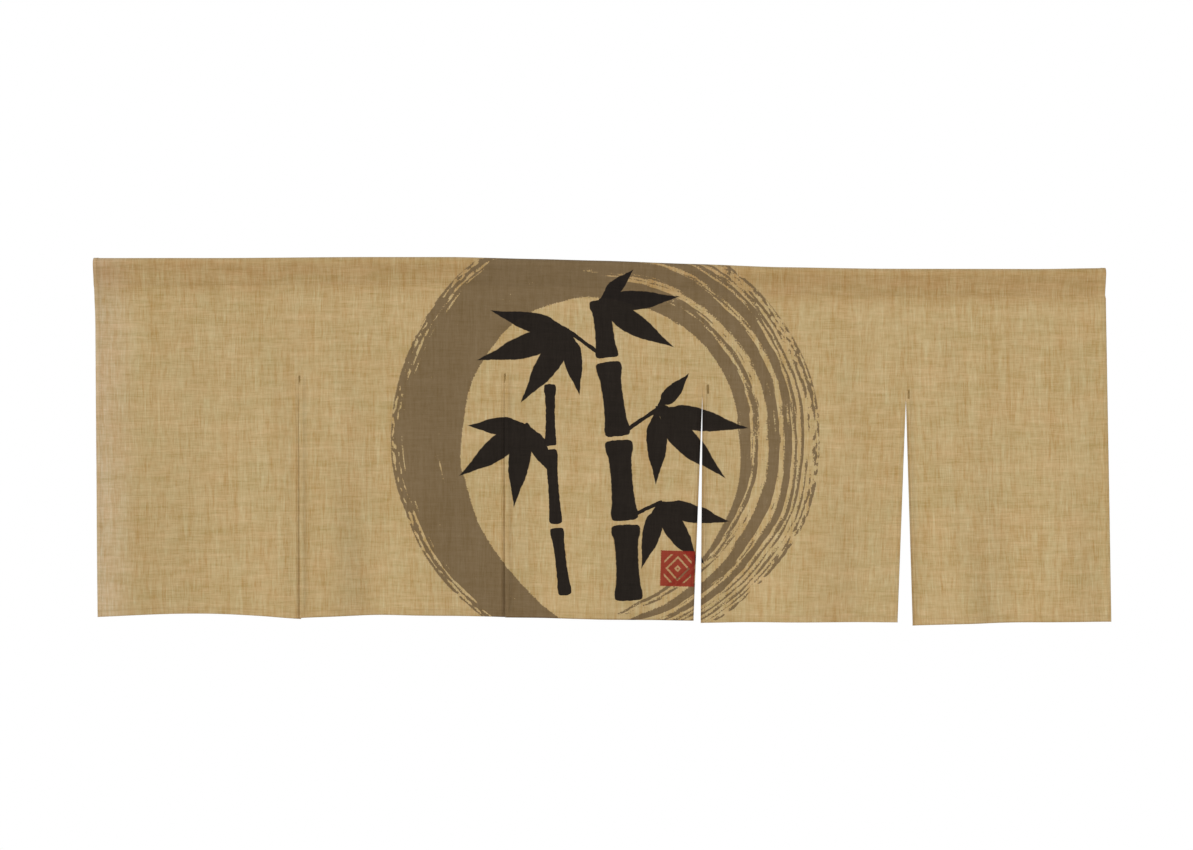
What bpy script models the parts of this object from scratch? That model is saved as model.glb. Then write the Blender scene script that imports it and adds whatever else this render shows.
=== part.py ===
"""Noren: a short split door curtain, one width of cloth with a pole sleeve along its top and four slits.

Metres, +Z up. The origin is the middle of the top edge, +X runs along the width, and the front of the
cloth looks along -Y. The cloth hangs in soft, uneven folds that fade out towards the sleeve.
"""

import math
from typing import NamedTuple

import bmesh
import bpy

DROP = 0.600            # nominal height, top edge to bottom edge
CLOTH = 0.0012          # thickness of one layer as it hangs
HEM = 0.0020            # thickness of the turned and stitched edges
HEM_WIDTH = 0.008       # side and slit hems
BOTTOM_HEM = 0.012      # height of the bottom hem
HEM_STEP = 0.0015       # strip over which a hem thins to one layer

SLEEVE_DROP = 0.045     # top edge to the sleeve's stitched seam
SEAM_RADIUS = 0.0022    # rounding where the two sleeve walls meet
SEAM_GAP = 0.0004       # between the sleeve and the cloth that hangs from it

SLIT_GAP = 0.0010       # least space between the two hems of a closed slit
ON_EDGE = 1e-6          # share of a panel within which a point counts as on its edge
WELD = 0.00005          # distance within which the sleeve's two long edges join

SLEEVE_STATIONS = 36
SLEEVE_SIDES = 16
PANEL_COLUMNS = 10      # across a panel, between its hems
UPPER_ROWS = 3          # from the sleeve down to the tops of the slits
LOWER_ROWS = 9          # from the tops of the slits down to the bottom hem

CLOTH_COLOUR = (0.485, 0.347, 0.168, 1.0)
SLEEVE_COLOUR = (0.429, 0.287, 0.133, 1.0)
CLOTH_ROUGHNESS = 0.92
SMOOTH_ANGLE = math.radians(35)


class Edge(NamedTuple):
    """A free edge of the cloth: a side, or a slit with cloth to its left and right.

    Swing is how far the cloth there has moved to the right at the bottom, curl how far it has moved to
    the back, and drop is where it ends.
    """

    x: float
    slit_top: float
    left_swing: float
    right_swing: float
    left_curl: float
    right_curl: float
    left_drop: float
    right_drop: float
    is_side: bool = False


# Columns: x, slit top, swing left and right, curl left and right, drop left and right
EDGES = (
    Edge(-0.8485, 0.200, 0.0, 0.0095, 0.0, -0.0070, 0.6027, 0.6027, is_side=True),
    Edge(-0.5020, 0.199, 0.0040, 0.0050, 0.0020, -0.0050, 0.6020, 0.6022),
    Edge(-0.1580, 0.193, 0.0020, 0.0030, 0.0040, -0.0040, 0.5975, 0.5982),
    Edge(0.1743, 0.209, -0.0131, 0.0012, 0.0090, -0.0060, 0.6019, 0.6052),
    Edge(0.5158, 0.215, -0.0106, 0.0147, 0.0070, -0.0080, 0.6027, 0.6075),
    Edge(0.8485, 0.214, 0.0160, 0.0, 0.0060, 0.0, 0.5985, 0.5985, is_side=True),
)

# How far the bottom edge of each panel rises in its middle
HEM_ARCHES = (0.0065, 0.0035, 0.0, 0.0020, 0.0015)


class Fold(NamedTuple):
    """A soft fold that runs down the cloth and deepens towards the bottom; depth is towards the back."""

    x_top: float
    x_bottom: float
    half_width: float
    depth: float
    starts: float


# Columns: x at the top, x at the bottom, half width, depth, drop at which it starts
FOLDS = (
    Fold(-0.690, -0.668, 0.130, 0.0150, 0.070),
    Fold(-0.540, -0.522, 0.050, -0.0050, 0.160),
    Fold(-0.385, -0.392, 0.075, 0.0160, 0.120),
    Fold(-0.290, -0.282, 0.070, -0.0060, 0.180),
    Fold(-0.120, -0.095, 0.060, 0.0060, 0.240),
    Fold(-0.010, 0.020, 0.100, -0.0110, 0.120),
    Fold(0.255, 0.262, 0.060, 0.0040, 0.220),
    Fold(0.350, 0.345, 0.120, -0.0120, 0.150),
    Fold(0.590, 0.600, 0.060, -0.0050, 0.200),
    Fold(0.675, 0.680, 0.065, 0.0090, 0.120),
    Fold(0.780, 0.775, 0.060, -0.0040, 0.200),
)


class Station(NamedTuple):
    """The sleeve at one place across the width: how high its top edge runs and how round it stands."""

    x: float
    rise: float
    radius: float


# Columns: x, rise of the top edge, radius of the sleeve's rounded top
SLEEVE_LINE = (
    Station(-0.8485, -0.0020, 0.0098),
    Station(-0.6700, -0.0007, 0.0092),
    Station(-0.3700, 0.0033, 0.0098),
    Station(-0.2400, 0.0042, 0.0100),
    Station(-0.1050, 0.0019, 0.0097),
    Station(0.0000, 0.0000, 0.0096),
    Station(0.1620, -0.0045, 0.0100),
    Station(0.3000, -0.0086, 0.0103),
    Station(0.4650, -0.0100, 0.0104),
    Station(0.7300, -0.0086, 0.0100),
    Station(0.8485, -0.0062, 0.0097),
)


def mix(start, end, share):
    """The value a share of the way from start to end."""
    return start + (end - start) * share


def ease(share):
    """A share from 0 to 1, held to that range, that starts and ends gently."""
    held = min(max(share, 0.0), 1.0)
    return held * held * (3.0 - 2.0 * held)


def sleeve_at(x):
    """The sleeve's rise and radius at x, eased from row to row of the sleeve table."""
    for start, end in zip(SLEEVE_LINE, SLEEVE_LINE[1:]):
        if x <= end.x:
            break
    share = min(max((x - start.x) / (end.x - start.x), 0.0), 1.0)
    eased = (share + ease(share)) / 2
    return mix(start.rise, end.rise, eased), mix(start.radius, end.radius, eased)


def sleeve_point(x, turn):
    """A point on the sleeve's outside; turn is the direction in which its wall faces there.

    The section is the hull of two circles, a wide one under the top edge and a narrow one at the seam.
    """
    rise, radius = sleeve_at(x)
    between_centres = SLEEVE_DROP - radius - SEAM_RADIUS
    on_top = math.sin(turn) >= (radius - SEAM_RADIUS) / between_centres
    size = radius if on_top else SEAM_RADIUS
    centre = rise - radius if on_top else rise - SLEEVE_DROP + SEAM_RADIUS
    return x, size * math.cos(turn), centre + size * math.sin(turn)


def freed(edge, drop):
    """How far down its free length an edge is at a drop, from 0 at the top of it to 1 at the bottom."""
    start = 0.0 if edge.is_side else edge.slit_top
    return min(max((drop - start) / (DROP - start), 0.0), 1.0)


def fold_depth(x, drop):
    """Depth of all the folds together at a place on the cloth."""
    depth = 0.0
    for fold in FOLDS:
        down = (drop - fold.starts) / (DROP - fold.starts)
        centre = mix(fold.x_top, fold.x_bottom, min(max(down, 0.0), 1.0))
        aside = min(abs(x - centre) / fold.half_width, 1.0)
        depth += fold.depth * ease(down) * 0.5 * (1.0 + math.cos(math.pi * aside))
    return depth


def row_drop(row, panel, share, x):
    """Drop of a row of the cloth's grid, a share of the way across a panel."""
    left, right = EDGES[panel], EDGES[panel + 1]
    rise, _ = sleeve_at(x)
    seam = SLEEVE_DROP + SEAM_GAP - rise
    slit_row = mix(left.slit_top, right.slit_top, share)
    arch = HEM_ARCHES[panel] * 4.0 * share * (1.0 - share)
    bottom = mix(left.right_drop, right.left_drop, share) - arch
    if row <= UPPER_ROWS:
        return mix(seam, slit_row, row / UPPER_ROWS)
    hem_top = bottom - BOTTOM_HEM
    rows_below = (
        *(mix(slit_row, hem_top - HEM_STEP, step / LOWER_ROWS) for step in range(1, LOWER_ROWS + 1)),
        hem_top,
        bottom,
    )
    return rows_below[row - UPPER_ROWS - 1]


def cloth_point(panel, x, row):
    """Where a grid point of the cloth hangs: a place across a panel and a row down it."""
    left, right = EDGES[panel], EDGES[panel + 1]
    share = (x - left.x) / (right.x - left.x)
    drop = row_drop(row, panel, share, x)
    from_left, from_right = freed(left, drop), freed(right, drop)
    moved = mix(left.right_swing * from_left, right.left_swing * from_right, share)
    if row > UPPER_ROWS:
        moved += slit_relief(left, right, share)
    curl = left.right_curl * from_left * (1.0 - share) ** 2 + right.left_curl * from_right * share ** 2
    return x + moved, fold_depth(x, drop) + curl, -drop


def slit_relief(left, right, share):
    """Half the space of a slit, for a point that lies on one of its two hems."""
    if share < ON_EDGE and not left.is_side:
        return SLIT_GAP / 2
    if share > 1.0 - ON_EDGE and not right.is_side:
        return -SLIT_GAP / 2
    return 0.0


def cloth_columns():
    """The columns across the whole cloth, each as its place and whether it lies in a hem."""
    columns = []
    for left, right in zip(EDGES, EDGES[1:]):
        inner_left = left.x + HEM_WIDTH + HEM_STEP
        inner_right = right.x - HEM_WIDTH - HEM_STEP
        columns += [(left.x, True), (left.x + HEM_WIDTH, True)]
        columns += [
            (mix(inner_left, inner_right, step / PANEL_COLUMNS), False) for step in range(PANEL_COLUMNS + 1)
        ]
        columns.append((right.x - HEM_WIDTH, True))
    columns.append((EDGES[-1].x, True))
    return columns


def cloth_material(name, colour):
    """A matt cloth finish in one colour."""
    material = bpy.data.materials.new(name)
    material.use_nodes = True
    shader = material.node_tree.nodes["Principled BSDF"]
    shader.inputs["Base Color"].default_value = colour
    shader.inputs["Roughness"].default_value = CLOTH_ROUGHNESS
    shader.inputs["Metallic"].default_value = 0.0
    return material


def mesh_object(name, form, material, collection):
    """A smooth-shaded object made from a bmesh, in the noren's collection."""
    mesh = bpy.data.meshes.new(name)
    form.to_mesh(mesh)
    form.free()
    mesh.shade_smooth()
    mesh.set_sharp_from_angle(angle=SMOOTH_ANGLE)
    mesh.materials.append(material)
    piece = bpy.data.objects.new(name, mesh)
    collection.objects.link(piece)
    return piece


def grid(columns, rows):
    """A flat grid primitive with its lower left corner at the origin and cells one unit wide and high."""
    form = bmesh.new()
    bmesh.ops.create_grid(form, x_segments=columns, y_segments=rows, size=0.5)
    for vert in form.verts:
        vert.co.x = round((vert.co.x + 0.5) * columns)
        vert.co.y = round((vert.co.y + 0.5) * rows)
    return form


def build_sleeve(collection):
    """The pole sleeve: a grid rolled into a tube of drop-shaped section, open at both ends."""
    form = grid(SLEEVE_STATIONS, SLEEVE_SIDES)
    for vert in form.verts:
        x = mix(EDGES[0].x, EDGES[-1].x, vert.co.x / SLEEVE_STATIONS)
        vert.co = sleeve_point(x, 2.0 * math.pi * vert.co.y / SLEEVE_SIDES)
    bmesh.ops.remove_doubles(form, verts=form.verts, dist=WELD)
    bmesh.ops.recalc_face_normals(form, faces=form.faces)
    piece = mesh_object("pole_sleeve", form, cloth_material("sleeve cloth", SLEEVE_COLOUR), collection)
    wall = piece.modifiers.new("Wall", "SOLIDIFY")
    wall.thickness = CLOTH
    wall.offset = -1.0
    return piece


def open_slits(form, slit_columns):
    """Part the grid along each slit, from its top down to the bottom edge."""
    slit_row = UPPER_ROWS
    parted = [
        edge
        for edge in form.edges
        if all(round(vert.co.x) in slit_columns and vert.co.y >= slit_row for vert in edge.verts)
        and edge.verts[0].co.x == edge.verts[1].co.x
    ]
    bmesh.ops.split_edges(form, edges=parted)


def build_cloth(collection):
    """The hanging cloth: a grid parted at the slits and hung in its folds, thicker along its hems."""
    columns = cloth_columns()
    rows = UPPER_ROWS + LOWER_ROWS + 2
    cells_in_panel = (len(columns) - 1) // (len(EDGES) - 1)
    form = grid(len(columns) - 1, rows)
    for vert in form.verts:
        vert.co.y = rows - vert.co.y
    open_slits(form, {panel * cells_in_panel for panel in range(1, len(EDGES) - 1)})
    weights = form.verts.layers.deform.verify()
    hung = {}
    for vert in form.verts:
        column, row = round(vert.co.x), round(vert.co.y)
        middle = sum(face.calc_center_median().x for face in vert.link_faces) / len(vert.link_faces)
        panel = min(int(middle / cells_in_panel), len(EDGES) - 2)
        x, beside_edge = columns[column]
        near = EDGES[round(column / cells_in_panel)]
        in_side_hem = beside_edge and (near.is_side or row >= UPPER_ROWS)
        in_hem = in_side_hem or row >= rows - 1
        vert[weights][0] = 1.0 if in_hem else 0.0
        hung[vert] = cloth_point(panel, x, row)
    for vert, place in hung.items():
        vert.co = place
    bmesh.ops.recalc_face_normals(form, faces=form.faces)
    piece = mesh_object("noren_cloth", form, cloth_material("noren cloth", CLOTH_COLOUR), collection)
    piece.vertex_groups.new(name="hems")
    layers = piece.modifiers.new("Layers", "SOLIDIFY")
    layers.thickness = HEM
    layers.offset = 0.0
    layers.vertex_group = "hems"
    layers.thickness_vertex_group = CLOTH / HEM
    return piece


def main():
    """Clear the scene and build the noren."""
    for old in list(bpy.data.objects):
        bpy.data.objects.remove(old, do_unlink=True)
    collection = bpy.data.collections.new("Noren")
    bpy.context.scene.collection.children.link(collection)
    build_sleeve(collection)
    build_cloth(collection)


main()
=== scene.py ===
"""Noren: the looks of a short split door curtain in printed, slubby linen weave, hung round its frame.

The cloth is one continuous sheet. It starts as the back of the pole sleeve, turns over the top edge, comes
down the front and ends in five panels parted by four slits. Its folds follow the frame's solids.
"""

import logging
import math
from dataclasses import dataclass
from enum import Enum
from functools import cached_property
from typing import Any

import bpy
import numpy as np
from mathutils import Matrix, Vector


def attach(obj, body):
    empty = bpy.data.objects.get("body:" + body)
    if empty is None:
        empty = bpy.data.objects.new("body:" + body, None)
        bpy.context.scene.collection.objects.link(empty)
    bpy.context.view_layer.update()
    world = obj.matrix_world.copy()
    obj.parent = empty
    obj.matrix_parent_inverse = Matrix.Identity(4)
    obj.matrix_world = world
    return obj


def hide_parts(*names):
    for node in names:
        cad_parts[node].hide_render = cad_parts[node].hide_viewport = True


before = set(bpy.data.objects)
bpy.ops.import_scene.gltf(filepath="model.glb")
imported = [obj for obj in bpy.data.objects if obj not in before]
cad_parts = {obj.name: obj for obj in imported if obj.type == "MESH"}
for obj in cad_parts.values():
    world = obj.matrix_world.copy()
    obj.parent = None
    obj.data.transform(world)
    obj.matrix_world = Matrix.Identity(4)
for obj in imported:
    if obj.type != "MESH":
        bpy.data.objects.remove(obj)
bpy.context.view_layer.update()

log = logging.getLogger("noren")

BODY = "root"
CLOTH_NODE = "noren_cloth"
SLEEVE_NODE = "pole_sleeve"

Array = np.ndarray
Socket = bpy.types.NodeSocket

# The cloth, in metres. Drops are measured down from the middle of the top edge.
DROP = 0.600
SLEEVE_DROP = 0.045
SEAM_RUN = 0.0515
HEM_WIDTH = 0.008
BOTTOM_HEM = 0.012


@dataclass(frozen=True)
class Edge:
    """A free edge of the cloth: a side, or a slit with cloth to its left and right.

    Swing is how far the cloth there has moved to the right at the bottom, curl how far it has moved to the
    back, and drop is where it ends. The shades say how dark the hem on each side looks, its doubled layers
    with painted shade, and the lines how dark the painted shade line along its free edge is, from 0 for
    none. The bar tack at the top of a slit is shifted a little to the right.
    """

    x: float
    slit_top: float
    left_swing: float
    right_swing: float
    left_curl: float
    right_curl: float
    left_drop: float
    right_drop: float
    left_shade: float
    right_shade: float
    left_shade_line: float
    right_shade_line: float
    tack_shift: float = 0.0
    is_side: bool = False
    overlaps: bool = False


# Columns: x, slit top, then left and right of each: swing, curl, drop, hem shade, painted shade line; tack
# shift
EDGES = (
    Edge(-0.8485, 0.200, 0.0, 0.0106, 0.0, -0.0070, 0.6045, 0.6045, 0.0, 0.0, 0.0, 0.0, is_side=True),
    Edge(
        -0.5020, 0.199, 0.0045, 0.0055, 0.0020, -0.0050, 0.6052, 0.6030, 0.65, 0.0, 0.10, 0.0, -0.0005,
        overlaps=True,
    ),
    Edge(
        -0.1570, 0.193, 0.0035, 0.0045, 0.0040, -0.0040, 0.5998, 0.5998, 0.5, 0.1, 0.15, 0.0, -0.0005,
        overlaps=True,
    ),
    Edge(0.1743, 0.209, -0.0118, -0.0003, 0.0090, -0.0060, 0.6037, 0.6062, 0.2, 0.8, 0.8, 1.0, 0.0090),
    Edge(0.5158, 0.215, -0.0103, 0.0132, 0.0070, -0.0080, 0.6040, 0.6080, 0.2, 0.2, 0.2, 1.0, 0.0046),
    Edge(0.8485, 0.214, 0.0160, 0.0, 0.0060, 0.0, 0.6000, 0.6000, 0.1, 0.0, 0.25, 0.0, is_side=True),
)
PANELS = len(EDGES) - 1

# How far the bottom edge of each panel rises in its middle
HEM_ARCHES = (0.0065, 0.0035, 0.0, 0.0012, 0.0015)

# How dark the painted shade line along the bottom edge of each panel is
HEM_SHADE_LINES = (0.35, 0.45, 0.90, 0.25, 0.50)


@dataclass(frozen=True)
class Fold:
    """A soft fold down the cloth; depth is towards the back, and is reached at the drop called full."""

    x_top: float
    x_bottom: float
    half_width: float
    depth: float
    starts: float
    full: float = DROP


# Columns: x at the top, x at the bottom, half width, depth, drop at which it starts
FOLDS = (
    Fold(-0.886, -0.876, 0.076, 0.0110, 0.045, full=0.110),
    Fold(-0.690, -0.668, 0.130, 0.0150, 0.070),
    Fold(-0.540, -0.522, 0.050, -0.0050, 0.160),
    Fold(-0.377, -0.378, 0.075, 0.0185, 0.120),
    Fold(-0.290, -0.282, 0.070, -0.0060, 0.180),
    Fold(-0.120, -0.095, 0.060, 0.0060, 0.240),
    Fold(-0.010, 0.020, 0.100, -0.0110, 0.120),
    Fold(0.255, 0.262, 0.060, 0.0040, 0.220),
    Fold(0.350, 0.345, 0.120, -0.0120, 0.150),
    Fold(0.590, 0.600, 0.060, -0.0050, 0.200),
    Fold(0.675, 0.680, 0.065, 0.0055, 0.120),
    Fold(0.780, 0.775, 0.060, -0.0040, 0.200),
)

# Columns: x, rise of the top edge, radius of the sleeve's rounded top
SLEEVE_LINE = np.array(
    (
        (-0.8485, -0.0020, 0.0098),
        (-0.6700, -0.0007, 0.0092),
        (-0.3700, 0.0033, 0.0098),
        (-0.2400, 0.0042, 0.0100),
        (-0.1050, 0.0019, 0.0097),
        (0.0000, 0.0000, 0.0096),
        (0.1620, -0.0045, 0.0100),
        (0.3000, -0.0086, 0.0103),
        (0.4650, -0.0100, 0.0104),
        (0.7300, -0.0086, 0.0100),
        (0.8485, -0.0062, 0.0097),
    )
)


def mix(start: Any, end: Any, share: Any) -> Any:
    """The value a share of the way from start to end."""
    return start + (end - start) * share


def ease(share: Any) -> Array:
    """A share held to 0..1 that starts and ends gently: 3 s squared less 2 s cubed."""
    held = np.clip(share, 0.0, 1.0)
    return held * held * (3.0 - 2.0 * held)


@dataclass(frozen=True)
class Ripples:
    """Small wrinkles of the cloth as a sum of long, mostly upright waves with seeded phases."""

    seed: int
    waves: int
    shortest: float
    longest: float
    lean: float
    height: float

    def at(self, x: Array, drop: Array) -> Array:
        """Depth of the wrinkles at places on the cloth.

        Each wave is a sine of x over its own length plus a little of the drop, and all are averaged.

        Args:
            x: places across the width.
            drop: places down the cloth.

        Returns:
            The depth at each place.
        """
        draws = np.random.default_rng(self.seed)
        total = np.zeros(np.broadcast(x, drop).shape)
        for _ in range(self.waves):
            across = 2.0 * math.pi / draws.uniform(self.shortest, self.longest)
            down = across * draws.uniform(-self.lean, self.lean)
            total = total + np.sin(across * x + down * drop + draws.uniform(0.0, 2.0 * math.pi))
        return self.height * total / math.sqrt(self.waves)


@dataclass(frozen=True)
class Drape:
    """The shape in which the cloth hangs: functions from a place on the flat cloth to a place in space."""

    cloth: float = 0.0006
    seam_half: float = 0.0005
    overlap: float = 0.0011
    lap_depth: float = 0.0008
    overlap_drop: float = 0.030
    overlap_run: float = 0.011
    pucker_pitch: float = 0.0270
    seam_pucker: float = 0.00040
    seam_reach: float = 0.014
    edge_pucker: float = 0.00030
    edge_reach: float = 0.009
    tack_pull: float = 0.0012
    tack_hold: float = 0.014
    wrinkles: Ripples = Ripples(seed=11, waves=14, shortest=0.055, longest=0.240, lean=0.35, height=0.0009)
    sleeve_wrinkles: Ripples = Ripples(
        seed=4, waves=10, shortest=0.030, longest=0.200, lean=1.6, height=0.0006
    )

    def sleeve_line(self, x: Array) -> tuple[Array, Array]:
        """Rise of the top edge and radius of the sleeve at x, eased from row to row of the sleeve table."""
        rows = SLEEVE_LINE
        index = np.clip(np.searchsorted(rows[:, 0], x) - 1, 0, len(rows) - 2)
        share = np.clip((x - rows[index, 0]) / (rows[index + 1, 0] - rows[index, 0]), 0.0, 1.0)
        eased = (share + ease(share)) / 2.0
        rise, radius = (mix(rows[index, column], rows[index + 1, column], eased) for column in (1, 2))
        return rise, radius

    def sleeve(self, x: Array, along: Array) -> tuple[Array, Array]:
        """The sleeve's section: an arc over the top and a straight run down to the seam on each side.

        The run leaves the arc at its tangent point, found from the angle whose cosine is the radius over
        the distance between the arc's centre and the seam. A place on the section is measured along it.

        Args:
            x: places across the width.
            along: from -1 at the seam on the back, over 0 on the top edge, to 1 at the seam on the front.

        Returns:
            The depth y and height z of each place.
        """
        rise, outside = self.sleeve_line(x)
        radius = outside - self.cloth / 2.0
        centre = rise - outside
        seam = rise - SLEEVE_DROP
        reach = np.hypot(self.seam_half, centre - seam)
        turn = math.pi - np.arctan2(self.seam_half, centre - seam) - np.arccos(radius / reach)
        straight = np.sqrt(reach**2 - radius**2)
        run = np.abs(along) * (radius * turn + straight)
        angle = np.minimum(run / radius, turn)
        down = np.clip((run - radius * turn) / straight, 0.0, 1.0)
        depth = mix(radius * np.sin(angle), self.seam_half, down)
        height = mix(centre + radius * np.cos(angle), seam, down)
        side = np.where(along > 0.0, -1.0, 1.0)
        slack = self.sleeve_wrinkles.at(x, height)
        slack = slack * ease(np.abs(along) * 2.0) * ease((1.0 - np.abs(along)) * 4.0)
        return side * depth + slack, height

    def freed(self, edge: Edge, drop: Array) -> Array:
        """How far down its free length an edge is at a drop: 0 under the bar tack, 1 at the bottom."""
        start = 0.0 if edge.is_side else edge.slit_top + self.tack_hold
        return np.clip((drop - start) / (DROP - start), 0.0, 1.0)

    def folds(self, x: Array, drop: Array) -> Array:
        """Depth of all the folds together: each a raised cosine across that grows down the cloth."""
        depth = np.zeros(np.broadcast(x, drop).shape)
        for fold in FOLDS:
            down = (drop - fold.starts) / (fold.full - fold.starts)
            centre = mix(fold.x_top, fold.x_bottom, np.clip(down, 0.0, 1.0))
            aside = np.minimum(np.abs(x - centre) / fold.half_width, 1.0)
            depth = depth + fold.depth * ease(down) * 0.5 * (1.0 + np.cos(math.pi * aside))
        return depth

    def beside(self, edge: Edge, is_right: bool, distance: Array, drop: Array) -> tuple[Array, Array]:
        """Shift of the cloth beside a closed slit, where the right panel's hem lies over the left's.

        Args:
            edge: the slit.
            is_right: whether the cloth is to the right of the slit.
            distance: distance from the slit.
            drop: places down the cloth.

        Returns:
            The shift across and the shift in depth.
        """
        if not edge.overlaps:
            return np.zeros_like(drop), np.zeros_like(drop)
        sign = -1.0 if is_right else 1.0
        grown = ease((drop - edge.slit_top) / self.overlap_drop)
        near = ease(1.0 - distance / self.overlap_run)
        return sign * self.overlap * grown * near, sign * self.lap_depth * grown * near

    def puckers(self, x: Array, drop: Array, edge_distance: Array, seam_distance: Array) -> Array:
        """Puckers that stitching draws in: short uneven waves that fade away from each stitched line."""
        phase = 2.0 * math.pi / self.pucker_pitch
        seam_wave = np.sin(phase * x + 1.7 * np.sin(21.0 * x))
        edge_wave = np.sin(phase * drop + 1.9 * np.sin(17.0 * drop + 5.0 * x))
        along_seam = seam_wave * np.exp(-seam_distance / self.seam_reach)
        along_edge = edge_wave * np.exp(-edge_distance / self.edge_reach)
        return self.seam_pucker * along_seam + self.edge_pucker * along_edge

    def pulls(self, x: Array, drop: Array) -> Array:
        """Dimples that the bar tacks pull in: a bell curve round the top of each slit."""
        depth = np.zeros(np.broadcast(x, drop).shape)
        for edge in EDGES[1:-1]:
            depth = depth + np.exp(-(((x - edge.x) / 0.014) ** 2) - ((drop - edge.slit_top) / 0.022) ** 2)
        return self.tack_pull * depth

    def bottom(self, panel: int, x: Array) -> Array:
        """Drop at which a panel ends: straight between its corners, less a parabola's rise between."""
        left, right = EDGES[panel], EDGES[panel + 1]
        share = (x - left.x) / (right.x - left.x)
        straight = mix(left.right_drop, right.left_drop, share)
        return straight - HEM_ARCHES[panel] * 4.0 * share * (1.0 - share)

    def flat(self, x: Array, drop: Array) -> Array:
        """Places on the flat cloth, measured from the top edge, of places below the sleeve's seam."""
        rise, _ = self.sleeve_line(x)
        return np.stack(np.broadcast_arrays(x, SLEEVE_DROP - SEAM_RUN - rise - drop), axis=-1)

    def hang(self, panel: int, x: Array, drop: Array, edge_distance: Array) -> Array:
        """Where places on a panel hang.

        Across, a place moves by the swing of its panel's two edges, shared by its distance from them. In
        depth it has the folds, the edges' curl, small wrinkles and puckers.

        Args:
            panel: which panel, from 0 at the left.
            x: places across the width at the top.
            drop: places down the cloth.
            edge_distance: distance from the nearest side or slit.

        Returns:
            Places in space, with x, y and z on the last axis.
        """
        left, right = EDGES[panel], EDGES[panel + 1]
        share = (x - left.x) / (right.x - left.x)
        from_left, from_right = self.freed(left, drop), self.freed(right, drop)
        across = mix(left.right_swing * from_left, right.left_swing * from_right, share)
        curl = left.right_curl * from_left * (1.0 - share) ** 2 + right.left_curl * from_right * share**2
        left_shift, left_lap = self.beside(left, True, x - left.x, drop)
        right_shift, right_lap = self.beside(right, False, right.x - x, drop)
        rise, _ = self.sleeve_line(x)
        seam_distance = drop - SLEEVE_DROP + rise
        loose = ease(seam_distance / 0.080)
        front = -self.seam_half * (1.0 - ease(seam_distance / 0.030))
        depth = front + self.folds(x, drop) + curl + left_lap + right_lap
        depth = depth + self.wrinkles.at(x, drop) * loose + self.pulls(x, drop)
        depth = depth + self.puckers(x, drop, edge_distance, seam_distance)
        return np.stack((x + across + left_shift + right_shift, depth, -drop), axis=-1)


@dataclass(frozen=True)
class ClothGrid:
    """Rows and columns of the sheet: close together where it is hemmed, turned or stitched."""

    cell: float = 0.0064
    sleeve_steps: int = 44
    upper_rows: int = 25
    lower_rows: int = 60
    hem_step: float = 0.0006

    def columns(self, panel: int) -> Array:
        """Places of a panel's columns across: some in each side's hem, the rest evenly spaced."""
        left, right = EDGES[panel].x, EDGES[panel + 1].x
        hem = np.array((0.0, 0.0012, HEM_WIDTH / 2, HEM_WIDTH, HEM_WIDTH + self.hem_step))
        count = round((right - left - 2.0 * hem[-1]) / self.cell)
        middle = np.linspace(left + hem[-1], right - hem[-1], count + 1)
        return np.concatenate((left + hem[:-1], middle, right - hem[:-1][::-1]))

    def drops(self, panel: int, x: Array, drape: Drape) -> Array:
        """Drops of the rows below the sleeve's seam: to the tops of the slits, then to the bottom hem.

        Args:
            panel: which panel, from 0 at the left.
            x: the panel's columns.
            drape: the hang of the cloth, for the line of the seam.

        Returns:
            One row for each row of the grid and one column for each column.
        """
        left, right = EDGES[panel], EDGES[panel + 1]
        share = (x - left.x) / (right.x - left.x)
        rise, _ = drape.sleeve_line(x)
        slit_row = mix(left.slit_top, right.slit_top, share)
        bottom = drape.bottom(panel, x)
        hem_top = bottom - BOTTOM_HEM
        upper = np.linspace(0.0, 1.0, self.upper_rows + 1)[1:, None]
        lower = np.linspace(0.0, 1.0, self.lower_rows + 1)[1:, None]
        return np.concatenate(
            (
                mix(SLEEVE_DROP - rise, slit_row, upper),
                mix(slit_row, hem_top - self.hem_step, lower),
                hem_top[None],
                (hem_top + BOTTOM_HEM / 2)[None],
                (bottom - 0.0012)[None],
                bottom[None],
            )
        )


def edge_distance(panel: int, x: Array, drop: Array) -> Array:
    """Distance from the nearest free edge: along x beside an edge, and slanting above a slit."""
    nearest = np.full(np.broadcast(x, drop).shape, 1.0)
    for edge in (EDGES[panel], EDGES[panel + 1]):
        above = 0.0 if edge.is_side else np.maximum(edge.slit_top - drop, 0.0)
        nearest = np.minimum(nearest, np.hypot(x - edge.x, above))
    return nearest


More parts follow.
